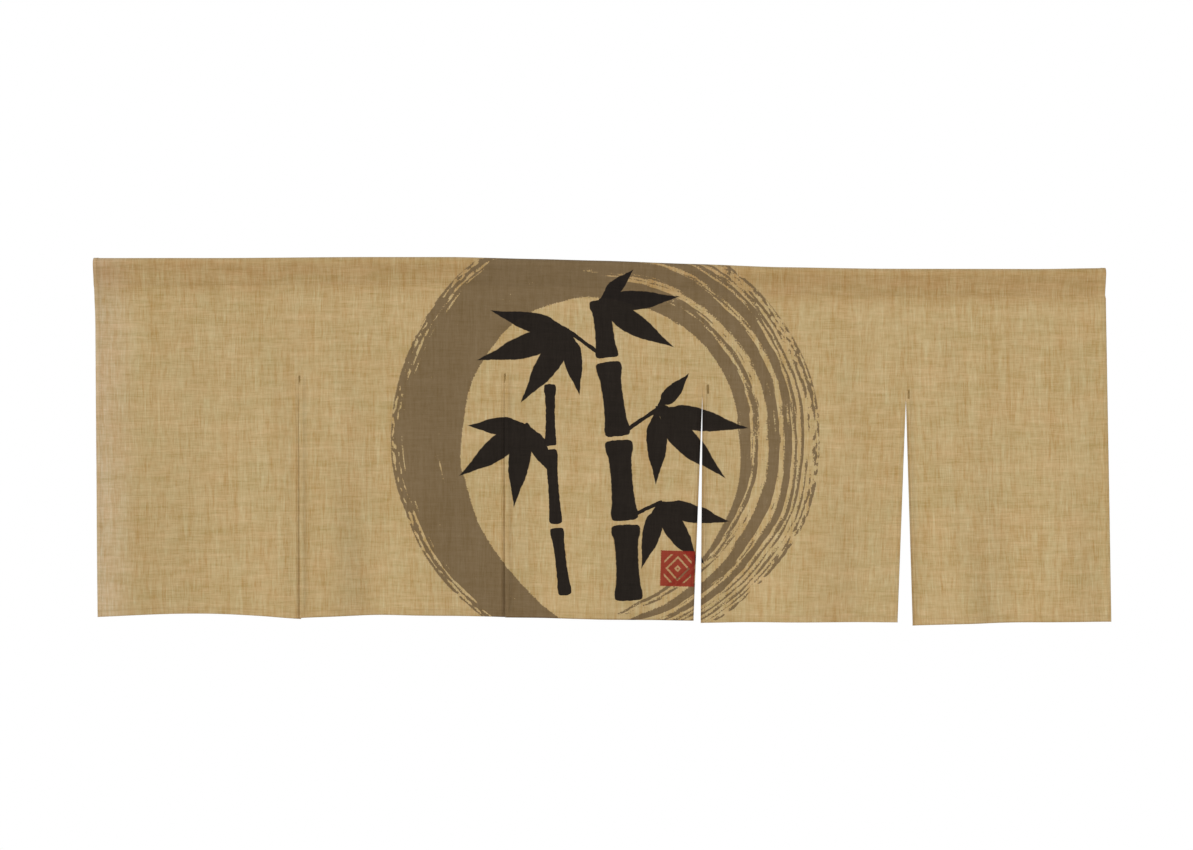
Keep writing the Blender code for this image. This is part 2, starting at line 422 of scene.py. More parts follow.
class NorenCloth:
    """The whole cloth: sleeve, five panels and their hems, as one sheet with a printed and a plain face."""

    def __init__(self, drape: Drape, grid: ClothGrid) -> None:
        """Keep the hang and the grid.

        Args:
            drape: the shape in which the cloth hangs.
            grid: the rows and columns of its mesh.
        """
        self.drape = drape
        self.grid = grid
        self.hem_thickness = 0.0014
        self.flap_run = 0.0022
        self.line_fade = 0.030

    @property
    def flap_rows(self) -> Array:
        """How far below the seam the rows of the sleeve's turned-back edge lie, lowest first."""
        return np.array((self.flap_run, self.flap_run / 2))

    @property
    def first_slit_row(self) -> int:
        """The row at which the slits start."""
        return len(self.flap_rows) + self.grid.sleeve_steps + self.grid.upper_rows

    def opened(self, edge: Edge, drop: Array) -> Array:
        """How far an edge's painted shade line shows at a drop: not where the bar tack holds an open slit
        shut.
        """
        if edge.is_side or edge.overlaps:
            return np.ones_like(drop)
        return ease((drop - edge.slit_top - self.drape.tack_hold) / self.line_fade)

    def panel(self, number: int) -> dict[str, Array]:
        """One panel, from the sleeve's turned-back edge over the top to the bottom hem.

        Args:
            number: which panel, from 0 at the left.

        Returns:
            Arrays of rows by columns: places in space, places on the flat cloth, distances from the free
                edges with the hem's painted shade, darkness of the edges' painted shade lines, and how
                thick the cloth is, from 0 for one layer to 1 for a hem.
        """
        drape = self.drape
        x = self.grid.columns(number)
        along = np.linspace(-1.0, 1.0, self.grid.sleeve_steps + 1)[:, None]
        sleeve_y, sleeve_z = drape.sleeve(x[None], along)
        rise, _ = drape.sleeve_line(x)
        flap = self.flap_rows[:, None]
        flap_z = rise - SLEEVE_DROP - flap
        drop = self.grid.drops(number, x, drape)
        distance = edge_distance(number, x[None], drop)
        hung = drape.hang(number, x[None], drop, distance)
        wide = np.broadcast_to(x, (len(along), len(x)))
        places = np.concatenate(
            (
                np.stack(np.broadcast_arrays(x[None], drape.seam_half + flap * 0.1, flap_z), axis=-1),
                np.stack((wide, sleeve_y, sleeve_z), axis=-1),
                hung,
            )
        )
        run = np.concatenate(
            (
                np.broadcast_to(SEAM_RUN + flap, flap_z.shape),
                np.broadcast_to(-along * SEAM_RUN, wide.shape),
                drape.flat(x[None], drop)[..., 1],
            )
        )
        top_distance = edge_distance(number, x[None], np.zeros((len(flap) + len(along), len(x))))
        side_distance = np.concatenate((top_distance, distance))
        bottom = drop[-1]
        bottom_distance = np.concatenate((np.ones_like(top_distance), bottom - drop))
        in_hem = (side_distance < HEM_WIDTH + 1e-5) | (bottom_distance < BOTTOM_HEM + 1e-5)
        left, right = EDGES[number], EDGES[number + 1]
        is_left = x - left.x < right.x - x
        # Strengths of the hem's painted shade and of the painted shade line along each edge
        shade = np.where(is_left, left.right_shade, right.left_shade)
        left_shade_line = left.right_shade_line * self.opened(left, drop)
        right_shade_line = right.left_shade_line * self.opened(right, drop)
        line = np.concatenate((np.zeros_like(top_distance), np.where(is_left, left_shade_line, right_shade_line)))
        lines = (line, HEM_SHADE_LINES[number], np.zeros_like(side_distance))
        return {
            "place": places,
            "flat": np.stack(np.broadcast_arrays(x, run), axis=-1),
            "edges": np.stack(np.broadcast_arrays(side_distance, bottom_distance, shade), axis=-1),
            "lines": np.stack(np.broadcast_arrays(*lines), axis=-1),
            "hem": in_hem.astype(float),
        }

    def joined(self) -> tuple[dict[str, Array], Array]:
        """All panels as one list of vertices and faces, joined above the slits and parted below them.

        A panel's first column takes the vertices of the last column of the panel before it down to the row
        where the slits start, and has vertices of its own from there on.

        Returns:
            The panels' arrays with one row for each vertex, and the faces as rows of four indices.
        """
        kept: dict[str, list[Array]] = {}
        quads = []
        count = 0
        last_column = None
        for number in range(PANELS):
            arrays = self.panel(number)
            rows, columns = arrays["hem"].shape
            fresh = np.ones((rows, columns), bool)
            if last_column is not None:
                fresh[: self.first_slit_row + 1, 0] = False
            index = np.empty((rows, columns), int)
            index[fresh] = count + np.arange(fresh.sum())
            if last_column is not None:
                index[~fresh] = last_column[: self.first_slit_row + 1]
            count += int(fresh.sum())
            last_column = index[:, -1]
            for name, values in arrays.items():
                kept.setdefault(name, []).append(values[fresh])
            corners = (index[:-1, :-1], index[1:, :-1], index[1:, 1:], index[:-1, 1:])
            quads.append(np.stack(corners, axis=-1).reshape(-1, 4))
        return {name: np.concatenate(values) for name, values in kept.items()}, np.concatenate(quads)

    def build(self, front: bpy.types.Material, back: bpy.types.Material) -> bpy.types.Object:
        """Make the sheet's object.

        Args:
            front: the printed face's finish.
            back: the plain face's finish.

        Returns:
            The sheet, with a live Solidify that gives one layer or a hem its thickness.
        """
        arrays, quads = self.joined()
        mesh = bpy.data.meshes.new("noren_sheet")
        mesh.from_pydata(arrays["place"], [], quads)
        mesh.shade_smooth()
        corners = np.empty(len(mesh.loops), np.int32)
        mesh.loops.foreach_get("vertex_index", corners)
        layer = mesh.uv_layers.new(name="cloth")
        layer.uv.foreach_set("vector", arrays["flat"][corners].astype(np.float32).ravel())
        for name in ("edges", "lines"):
            attribute = mesh.attributes.new(name, "FLOAT_VECTOR", "POINT")
            attribute.data.foreach_set("vector", arrays[name].astype(np.float32).ravel())
        mesh.materials.append(front)
        mesh.materials.append(back)
        piece = bpy.data.objects.new("noren_sheet", mesh)
        bpy.context.scene.collection.objects.link(piece)
        group = piece.vertex_groups.new(name="hems")
        group.add(np.nonzero(arrays["hem"] > 0.5)[0].tolist(), 1.0, "REPLACE")
        layers = piece.modifiers.new("Layers", "SOLIDIFY")
        layers.thickness = self.hem_thickness
        layers.offset = 0.0
        layers.vertex_group = group.name
        layers.thickness_vertex_group = self.drape.cloth / self.hem_thickness
        layers.material_offset = 1
        layers.use_quality_normals = True
        log.info("noren_sheet: %d vertices, %d faces", len(mesh.vertices), len(mesh.polygons))
        return piece


@dataclass(frozen=True)
class Seam:
    """A stitched line: its points, the way out of the cloth at each, and places on the flat cloth."""

    points: Array
    outward: Array
    flat: Array

    def spaced(self, pitch: float) -> "Stitches":
        """Stitches of even pitch along the line.

        Args:
            pitch: from the middle of one stitch to the next.

        Returns:
            The stitches.
        """
        steps = np.linalg.norm(np.diff(self.points, axis=0), axis=1)
        run = np.concatenate(((0.0,), np.cumsum(steps)))
        places = np.arange(pitch / 2, run[-1] - pitch / 2, pitch)

        def along(values: Array, where: Array) -> Array:
            """The line's values at places along it."""
            return np.stack([np.interp(where, run, column) for column in values.T], axis=1)

        heading = along(self.points, places + pitch / 2) - along(self.points, places - pitch / 2)
        outward = along(self.outward, places)
        heading /= np.linalg.norm(heading, axis=1, keepdims=True)
        outward /= np.linalg.norm(outward, axis=1, keepdims=True)
        return Stitches(along(self.points, places), heading, outward, along(self.flat, places))


@dataclass(frozen=True)
class Stitches:
    """A row of stitches: their middles, headings, ways out of the cloth and places on the flat cloth."""

    middles: Array
    headings: Array
    outward: Array
    flat: Array


@dataclass(frozen=True)
class Rods:
    """The mesh of a row of stitches: vertices, faces, and each vertex's place on the flat cloth."""

    vertices: Array
    faces: Array
    flat: Array


@dataclass(frozen=True)
class Sewing:
    """The machine sewing on both faces: the sleeve's seam, all the hems, and a bar tack above each slit.

    A stitch is a short rod of four sides whose ends dip into the cloth.
    """

    drape: Drape
    hem_half: float
    pitch: float = 0.0034
    length: float = 0.0027
    width: float = 0.00042
    height: float = 0.00030
    inset: float = 0.0015
    steps: int = 400
    tack_length: float = 0.0150
    tack_width: float = 0.0036
    tack_pitch: float = 0.00052
    tack_above: float = 0.14
    tack_lean: float = 0.10

    # Columns: place along the stitch, share of its full width, share of its height above the cloth
    STATIONS = np.array(
        ((-0.50, 0.45, -0.60), (-0.28, 1.00, 0.35), (0.28, 1.00, 0.35), (0.50, 0.45, -0.60))
    )
    SIDES = 4

    def rods(self, row: Stitches, length: float) -> Rods:
        """A rod for each stitch of a row.

        Args:
            row: the stitches.
            length: how long they are.

        Returns:
            Their mesh.
        """
        stations, sides = len(self.STATIONS), self.SIDES
        turns = (np.arange(sides) + 0.5) * 2.0 * math.pi / sides
        along, wide, high = (column[None, :, None, None] for column in self.STATIONS.T)
        of_row = (row.middles, row.headings, row.outward)
        centre, heading, out = (values[:, None, None] for values in of_row)
        aside = np.cross(heading, out)
        across, up = np.cos(turns)[None, None, :, None], np.sin(turns)[None, None, :, None]
        vertices = (
            centre
            + heading * along * length
            + aside * wide * across * self.width / 2.0
            + out * (high + wide * up / 2.0) * self.height
        )
        first = np.arange(stations - 1)[:, None] * sides + np.arange(sides)
        after = np.arange(stations - 1)[:, None] * sides + (np.arange(sides) + 1) % sides
        walls = np.stack((first, first + sides, after + sides, after), axis=-1).reshape(-1, sides)
        start = np.arange(sides)
        end = start[::-1] + (stations - 1) * sides
        faces = np.concatenate((walls, start[None], end[None]))
        offsets = np.arange(len(row.middles))[:, None, None] * stations * sides
        flat = np.repeat(row.flat, stations * sides, axis=0)
        return Rods(vertices.reshape(-1, 3), (faces[None] + offsets).reshape(-1, sides), flat)

    def on_face(self, line: Array, half: float, side: float, flat: Array) -> Seam:
        """A line in the middle of the cloth, moved to its front (side -1) or its back (side 1)."""
        outward = np.tile((0.0, side, 0.0), (len(line), 1))
        return Seam(line + outward * half, outward, flat)

    def hems(self) -> list[Seam]:
        """The lines along the side, slit and bottom hems of every panel, on both faces."""
        lines = []
        for panel in range(PANELS):
            left, right = EDGES[panel], EDGES[panel + 1]
            for edge, way in ((left, 1.0), (right, -1.0)):
                x = np.full(self.steps, edge.x + way * (HEM_WIDTH - self.inset))
                top = SLEEVE_DROP + HEM_WIDTH if edge.is_side else edge.slit_top
                drop = np.linspace(top, float(self.drape.bottom(panel, x[0])), self.steps)
                lines.append((panel, x, drop))
            x = np.linspace(left.x, right.x, self.steps)
            lines.append((panel, x, self.drape.bottom(panel, x) - BOTTOM_HEM + self.inset))
        seams = []
        for panel, x, drop in lines:
            hung = self.drape.hang(panel, x, drop, edge_distance(panel, x, drop))
            flat = self.drape.flat(x, drop)
            seams += [self.on_face(hung, self.hem_half, side, flat) for side in (-1.0, 1.0)]
        return seams

    def sleeve(self) -> list[Seam]:
        """The sleeve's seam on both faces, and the stitching round its two hemmed ends."""
        x = np.linspace(EDGES[0].x, EDGES[-1].x, self.steps * PANELS)
        seams = []
        for side in (-1.0, 1.0):
            y, z = self.drape.sleeve(x, np.full_like(x, -side))
            flat = np.stack((x, np.full_like(x, side * SEAM_RUN)), axis=1)
            seams.append(self.on_face(np.stack((x, y, z), axis=1), self.drape.cloth / 2.0, side, flat))
        for edge, way in ((EDGES[0], 1.0), (EDGES[-1], -1.0)):
            x = np.full(self.steps, edge.x + way * (HEM_WIDTH - self.inset))
            along = np.linspace(-1.0, 1.0, self.steps)
            y, z = self.drape.sleeve(x, along)
            line = np.stack((x, y, z), axis=1)
            outward = np.cross(np.gradient(line, axis=0), (1.0, 0.0, 0.0))
            outward /= np.linalg.norm(outward, axis=1, keepdims=True)
            flat = np.stack((x, -along * SEAM_RUN), axis=1)
            seams.append(Seam(line + outward * self.hem_half, outward, flat))
        return seams

    def tack(self, number: int, side: float) -> Rods:
        """One bar tack: level stitches close together down a short bar at the top of a slit.

        Args:
            number: which edge the slit is.
            side: -1 for the front of the cloth, 1 for its back.

        Returns:
            Its mesh.
        """
        edge = EDGES[number]
        count = round(self.tack_length / self.tack_pitch)
        along = np.linspace(-self.tack_above, 1.0 - self.tack_above, count)
        drop = edge.slit_top + along * self.tack_length
        x = np.full(count, edge.x + edge.tack_shift)
        panel = number if edge.tack_shift >= 0.0 else number - 1
        middles = self.drape.hang(panel, x, drop, edge_distance(panel, x, drop))
        outward = np.tile((0.0, side, 0.0), (count, 1))
        lean = np.where(np.arange(count) % 2 == 0, self.tack_lean, -self.tack_lean)
        headings = np.stack((np.cos(lean), np.zeros(count), np.sin(lean)), axis=1)
        middles = middles + outward * (self.hem_half + self.height / 2.0)
        return self.rods(Stitches(middles, headings, outward, self.drape.flat(x, drop)), self.tack_width)

    def piece(self, name: str, parts: list[Rods], finish: bpy.types.Material) -> bpy.types.Object:
        """Join rods into one object, with their places on the flat cloth as its UV map.

        Args:
            name: the object's name.
            parts: the mesh of each row of stitches.
            finish: the thread's finish.

        Returns:
            The object.
        """
        starts = np.cumsum([0] + [len(rods.vertices) for rods in parts])
        vertices = np.concatenate([rods.vertices for rods in parts])
        faces = np.concatenate([rods.faces + start for rods, start in zip(parts, starts)])
        flat = np.concatenate([rods.flat for rods in parts])
        mesh = bpy.data.meshes.new(name)
        mesh.from_pydata(vertices, [], faces)
        mesh.shade_smooth()
        layer = mesh.uv_layers.new(name="cloth")
        layer.uv.foreach_set("vector", flat[faces.ravel()].astype(np.float32).ravel())
        mesh.materials.append(finish)
        piece = bpy.data.objects.new(name, mesh)
        bpy.context.scene.collection.objects.link(piece)
        log.info("%s: %d stitches", name, len(vertices) // (len(self.STATIONS) * self.SIDES))
        return piece

    def build(self, thread: bpy.types.Material, tack_thread: bpy.types.Material) -> list[bpy.types.Object]:
        """Make the stitches and the bar tacks.

        Args:
            thread: finish of the seams' thread.
            tack_thread: finish of the bar tacks' thread.

        Returns:
            The two objects.
        """
        stitches = [self.rods(seam.spaced(self.pitch), self.length) for seam in self.hems() + self.sleeve()]
        tacks = [self.tack(number, side) for number in range(1, PANELS) for side in (-1.0, 1.0)]
        return [self.piece("stitches", stitches, thread), self.piece("bar_tacks", tacks, tack_thread)]


class Graph:
    """A shader node tree written as formulas: each method adds a node and returns its output."""

    def __init__(self, tree: bpy.types.NodeTree) -> None:
        """Keep the tree.

        Args:
            tree: the node tree that the formulas go into.
        """
        self.tree = tree

    def add(self, kind: str, inputs: dict[Any, Any] | None = None, **settings: Any) -> bpy.types.Node:
        """Add a node.

        Args:
            kind: the node's type.
            inputs: values or outputs for its inputs, by name or number.
            settings: its properties.

        Returns:
            The node.
        """
        node = self.tree.nodes.new(kind)
        for name, value in settings.items():
            setattr(node, name, value)
        for key, value in (inputs or {}).items():
            self.feed(node.inputs[key], value)
        return node

    def feed(self, socket: Socket, value: Any) -> None:
        """Link an output to an input, or set the input's own value."""
        if isinstance(value, bpy.types.NodeSocket):
            self.tree.links.new(value, socket)
        else:
            socket.default_value = value

    def maths(self, operation: str, *values: Any) -> Socket:
        """A number worked out from one, two or three others."""
        return self.add("ShaderNodeMath", dict(enumerate(values)), operation=operation).outputs[0]

    def plus(self, first: Any, second: Any) -> Socket:
        """The sum of two numbers."""
        return self.maths("ADD", first, second)

    def minus(self, first: Any, second: Any) -> Socket:
        """The first number less the second."""
        return self.maths("SUBTRACT", first, second)

    def times(self, first: Any, second: Any) -> Socket:
        """The product of two numbers."""
        return self.maths("MULTIPLY", first, second)

    def times_plus(self, first: Any, second: Any, third: Any) -> Socket:
        """The product of the first two numbers, plus the third."""
        return self.maths("MULTIPLY_ADD", first, second, third)

    def vector(self, operation: str, *values: Any, **named: Any) -> Socket:
        """A vector worked out from others, such as a sum, a product or a multiple."""
        inputs = dict(enumerate(values)) | named
        return self.add("ShaderNodeVectorMath", inputs, operation=operation).outputs[0]

    def length(self, value: Socket) -> Socket:
        """The length of a vector."""
        return self.add("ShaderNodeVectorMath", {0: value}, operation="LENGTH").outputs["Value"]

    def parts(self, value: Socket) -> tuple[Socket, Socket, Socket]:
        """The x, y and z of a vector."""
        node = self.add("ShaderNodeSeparateXYZ", {0: value})
        return node.outputs[0], node.outputs[1], node.outputs[2]

    def joined(self, x: Any, y: Any, z: Any = 0.0) -> Socket:
        """A vector from its x, y and z."""
        return self.add("ShaderNodeCombineXYZ", {0: x, 1: y, 2: z}).outputs[0]

    def noise(self, where: Socket, detail: float = 1.0, roughness: float = 0.5) -> Socket:
        """Smooth noise from 0 to 1 at a scaled place, about one swell to a unit."""
        inputs = {"Vector": where, "Scale": 1.0, "Detail": detail, "Roughness": roughness}
        return self.add("ShaderNodeTexNoise", inputs, noise_dimensions="3D").outputs[0]

    def step(self, value: Any, low: Any, high: Any) -> Socket:
        """A soft step from 0 at low to 1 at high; low may be the larger one."""
        inputs = {"Value": value, "From Min": low, "From Max": high}
        return self.add("ShaderNodeMapRange", inputs, interpolation_type="SMOOTHSTEP").outputs[0]

    def scale(self, value: Any, low: float, high: float, new_low: float, new_high: float) -> Socket:
        """A number moved from one range to another and held to it."""
        inputs = {"Value": value, "From Min": low, "From Max": high, "To Min": new_low, "To Max": new_high}
        return self.add("ShaderNodeMapRange", inputs).outputs[0]

    def blend(self, share: Any, under: Any, over: Any, how: str = "MIX") -> Socket:
        """A colour a share of the way from one to another."""
        node = self.add("ShaderNodeMix", data_type="RGBA", blend_type=how)
        for number, value in ((0, share), (6, under), (7, over)):
            self.feed(node.inputs[number], value)
        return node.outputs[2]

    def tint(self, share: Any, colour: Any, by: tuple[float, ...]) -> Socket:
        """A colour a share of the way to itself multiplied by another."""
        return self.blend(share, colour, self.blend(1.0, colour, by, "MULTIPLY"))

    def use(self, tree: bpy.types.NodeTree, **inputs: Any) -> bpy.types.Node:
        """Place a node group and feed its inputs by name."""
        node = self.tree.nodes.new("ShaderNodeGroup")
        node.node_tree = tree
        for name, value in inputs.items():
            self.feed(node.inputs[name], value)
        return node


class Kind(Enum):
    """Kinds of socket on a node group."""

    NUMBER = "NodeSocketFloat"
    VECTOR = "NodeSocketVector"


def set_curve(node: bpy.types.Node, rows: tuple[tuple[float, float], ...]) -> None:
    """Give a Float Curve node a table's points, in order from 0 to 1."""
    points = node.mapping.curves[0].points
    for place, value in rows[1:-1]:
        points.new(place, value)
    points[0].location = rows[0]
    points[-1].location = rows[-1]
    node.mapping.update()


def shader_group(name: str, inputs: dict[str, Kind], outputs: dict[str, Kind]) -> tuple[Graph, Any, Any]:
    """Start a node group.

    Args:
        name: the group's name.
        inputs: its inputs and their kinds.
        outputs: its outputs and their kinds.

    Returns:
        The group's graph, the outputs of its input node, and the inputs of its output node.
    """
    tree = bpy.data.node_groups.new(name, "ShaderNodeTree")
    for sockets, direction in ((inputs, "INPUT"), (outputs, "OUTPUT")):
        for socket_name, kind in sockets.items():
            tree.interface.new_socket(name=socket_name, in_out=direction, socket_type=kind.value)
    source = tree.nodes.new("NodeGroupInput")
    sink = tree.nodes.new("NodeGroupOutput")
    return Graph(tree), source.outputs, sink.inputs


@dataclass(frozen=True)
class Yarns:
    """Yarns of one thickness that turn paler and darker along their length."""

    width: float
    length: float
    strength: float
    shift: float


@dataclass(frozen=True)
class LinenWeave:
    """Slubby plain weave: straight yarns both ways, each paler and darker along its length.

    A yarn's number is its place across over its width, rounded down, so each yarn has noise of its own.
    Thicker yarns are bundles of thin ones. A slub is where a yarn's noise runs very high or low.
    """

    # Columns: width, length, strength, shift of the pattern
    yarns: tuple[Yarns, ...] = (
        Yarns(0.00084, 0.016, 0.80, 9.1),
        Yarns(0.00168, 0.030, 1.00, 3.7),
        Yarns(0.00336, 0.055, 0.60, 5.3),
    )
    band: Yarns = Yarns(0.0100, 0.190, 0.66, 21.3)
    slub: Yarns = Yarns(0.00168, 0.014, 0.16, 13.0)
    mottle: float = 0.070
    mottling: float = 0.22
    warp_share: float = 1.08
    weft_share: float = 0.82
    spread: float = 0.73
    number_step: float = 0.7313
    number_shift: float = 0.3171
    slub_from: float = 0.17
    slub_to: float = 0.22
    cloud_hue: float = -1.1
    ridge_height: float = 0.35
    slub_height: float = 0.30

    def yarn(self, graph: Graph, across: Socket, along: Socket, row: Yarns) -> Socket:
        """Noise along each yarn, centred on 0 and unlike its neighbour's."""
        number = graph.maths("FLOOR", graph.maths("DIVIDE", across, row.width))
        where = graph.joined(
            graph.times(number, self.number_step),
            graph.maths("DIVIDE", along, row.length),
            graph.times_plus(number, self.number_shift, row.shift),
        )
        return graph.minus(graph.noise(where), 0.5)

    def smooth(self, graph: Graph, across: Socket, along: Socket, row: Yarns) -> Socket:
        """Soft bands along the yarns, centred on 0."""
        where = graph.joined(
            graph.maths("DIVIDE", across, row.width), graph.maths("DIVIDE", along, row.length), row.shift
        )
        return graph.minus(graph.noise(where), 0.5)

    def system(self, graph: Graph, across: Socket, along: Socket) -> tuple[Socket, Socket]:
        """All the yarns of one direction, and their slubs: 1 for a pale dash and -1 for a dark one."""
        total = graph.times(self.smooth(graph, across, along, self.band), self.band.strength)
        for row in self.yarns:
            total = graph.times_plus(self.yarn(graph, across, along, row), row.strength, total)
        dash = self.yarn(graph, across, along, self.slub)
        pale = graph.step(dash, self.slub_from, self.slub_to)
        slubs = graph.minus(pale, graph.step(dash, -self.slub_from, -self.slub_to))
        return graph.times_plus(slubs, self.slub.strength, total), slubs

    @cached_property
    def tree(self) -> bpy.types.NodeTree:
        """The node group: a place on the flat cloth gives tone and hue from 0 to 1, and a height."""
        outputs = {"Tone": Kind.NUMBER, "Hue": Kind.NUMBER, "Height": Kind.NUMBER}
        graph, source, sink = shader_group("linen_weave", {"Place": Kind.VECTOR}, outputs)
        x, y, _ = graph.parts(source["Place"])
        warp, warp_slubs = self.system(graph, x, y)
        weft, weft_slubs = self.system(graph, graph.plus(y, 3.0), x)
        warp = graph.times(warp, self.warp_share)
        weft = graph.times(weft, self.weft_share)
        moved = graph.vector("ADD", source["Place"], (2.0, 7.0, 0.0))
        mottled = graph.vector("SCALE", moved, Scale=1.0 / self.mottle)
        cloud = graph.minus(graph.noise(mottled, detail=2.0), 0.5)
        tone = graph.times_plus(cloud, self.mottling, graph.plus(warp, weft))
        hue = graph.times_plus(cloud, self.cloud_hue, graph.minus(warp, weft))
        graph.feed(sink["Tone"], graph.scale(tone, -self.spread, self.spread, 0.0, 1.0))
        graph.feed(sink["Hue"], graph.scale(hue, -self.spread, self.spread, 0.0, 1.0))
        turns = math.pi / self.yarns[0].width
        waves = [graph.maths("SINE", graph.times(way, turns)) for way in (x, y)]
        ridges = graph.plus(*(graph.maths("ABSOLUTE", wave) for wave in waves))
        slubs = graph.plus(warp_slubs, weft_slubs)
        height = graph.times_plus(ridges, self.ridge_height, tone)
        height = graph.times_plus(slubs, self.slub_height, height)
        graph.feed(sink["Height"], height)
        return graph.tree


@dataclass(frozen=True)
class Turn:
    """One row of the ring's table: how far round, the band's two radii, its dryness, and its rim's."""

    turn: float
    inner: float
    outer: float
    dryness: float
    rim: float


@dataclass(frozen=True)
class Bristles:
    """Noise stretched round the ring: its cells to a radius of the turn, their width, and its strength."""

    around: float
    width: float
    strength: float


@dataclass(frozen=True)
class BrushRing:
    """A broad ring brushed in one turn, wet where it starts at the lower left and dry where it ends.

    The turn runs clockwise from the bottom. The band's two radii and its dryness come from a short table
    of turns, and the paint that the bristles carry across the band from a second one. Paint stays where
    that load, with noise stretched round the ring, is over a level that rises with the dryness.
    """

    x: float = 0.0130
    y: float = -0.3075
    radius_unit: float = 0.4000
    drift: float = 0.50
    wettest: float = -0.35
    driest: float = 1.15
    rim_from: float = 0.74
    rim_to: float = 0.86
    dashes_from: float = 0.84
    dashes_to: float = 0.92
    grain_scale: float = 440.0
    grain_load: float = 0.85
    grain_radius: float = 0.0040
    blur: float = 0.008
    waver: Bristles = Bristles(1.9, 10.0, 0.010)
    sway: Bristles = Bristles(2.6, 0.060, 0.10)
    patches: Bristles = Bristles(6.0, 0.030, 1.1)
    dashes: Bristles = Bristles(34.0, 0.0045, 1.9)
    marks: tuple[Bristles, ...] = (
        Bristles(2.2, 0.0060, 0.90),
        Bristles(7.5, 0.0026, 0.85),
        Bristles(16.0, 0.0040, 0.55),
    )

    # Columns: turn, inner radius, outer radius, dryness, extra dryness of the rim
    TURNS = (
        Turn(0.000, 0.318, 0.372, 0.05, 0.20),
        Turn(0.045, 0.300, 0.370, 0.04, 0.24),
        Turn(0.110, 0.266, 0.366, 0.02, 0.42),
        Turn(0.180, 0.245, 0.363, 0.02, 0.52),
        Turn(0.225, 0.239, 0.362, 0.02, 0.28),
        Turn(0.270, 0.238, 0.362, 0.02, 0.34),
        Turn(0.330, 0.241, 0.364, 0.03, 0.50),
        Turn(0.420, 0.237, 0.368, 0.06, 0.52),
        Turn(0.480, 0.230, 0.368, 0.13, 0.36),
        Turn(0.530, 0.225, 0.366, 0.34, 0.22),
        Turn(0.590, 0.222, 0.363, 0.46, 0.06),
        Turn(0.660, 0.222, 0.361, 0.52, 0.04),
        Turn(0.750, 0.226, 0.361, 0.57, 0.06),
        Turn(0.860, 0.244, 0.359, 0.57, 0.08),
        Turn(0.930, 0.262, 0.355, 0.60, 0.08),
        Turn(0.970, 0.280, 0.352, 0.74, 0.10),
        Turn(1.000, 0.300, 0.350, 1.00, 0.10),
    )

    # Columns: place across the band from its inner edge, paint carried there
    LOAD = (
        (0.000, 0.60),
        (0.030, 0.96),
        (0.125, 0.96),
        (0.160, 0.32),
        (0.195, 0.70),
        (0.235, 0.28),
        (0.310, 0.14),
        (0.365, 0.90),
        (0.470, 0.96),
        (0.515, 0.28),
        (0.550, 0.30),
        (0.590, 0.86),
        (0.645, 0.86),
        (0.685, 0.24),
        (0.720, 0.64),
        (0.750, 0.22),
        (0.785, 0.68),
        (0.820, 0.10),
        (0.855, 0.68),
        (0.890, 0.10),
        (0.920, 0.72),
        (0.945, 0.22),
        (0.970, 0.74),
        (1.000, 0.44),
    )

    def profile(self, graph: Graph, turn: Socket) -> tuple[Socket, Socket, Socket, Socket]:
        """Inner radius, outer radius, dryness and the rim's own at a turn, from the table of turns."""
        node = graph.add("ShaderNodeValToRGB", {0: turn})
        ramp = node.color_ramp
        ramp.interpolation = "CARDINAL"
        while len(ramp.elements) < len(self.TURNS):
            ramp.elements.new(1.0)
        for element, row in zip(ramp.elements, self.TURNS):
            element.position = row.turn
            radii = (row.inner / self.radius_unit, row.outer / self.radius_unit)
            element.color = (*radii, row.dryness, row.rim)
        colour = graph.add("ShaderNodeSeparateColor", {0: node.outputs[0]})
        inner = graph.times(colour.outputs[0], self.radius_unit)
        outer = graph.times(colour.outputs[1], self.radius_unit)
        return inner, outer, colour.outputs[2], node.outputs[1]

    def bristled(self, graph: Graph, heading: Socket, radius: Socket, row: Bristles) -> Socket:
        """Noise stretched round the ring, centred on 0 and not yet multiplied by its strength."""
        across = graph.maths("DIVIDE", radius, row.width)
        around = graph.vector("SCALE", heading, Scale=row.around)
        where = graph.vector("ADD", around, graph.joined(0.0, 0.0, across))
        return graph.minus(graph.noise(where, detail=0.0), 0.5)

    def place(self, graph: Graph, where: Socket, grain: Socket) -> tuple[Socket, Socket, Socket]:
        """Where a point lies on the ring.

        Args:
            graph: the group's graph.
            where: the place on the flat cloth.
            grain: noise that roughens the band's edges.

        Returns:
            The heading from the centre, the slightly wavering radius, and the turn from 0 to 1.
        """
        from_centre = graph.vector("SUBTRACT", where, (self.x, self.y, 0.0))
        heading = graph.vector("NORMALIZE", from_centre)
        across, up, _ = graph.parts(from_centre)
        turn = graph.scale(graph.maths("ARCTAN2", across, up), -math.pi, math.pi, 0.0, 1.0)
        waver = self.bristled(graph, heading, graph.length(from_centre), self.waver)
        radius = graph.times_plus(grain, self.grain_radius, graph.length(from_centre))
        return heading, graph.times_plus(waver, self.waver.strength, radius), turn

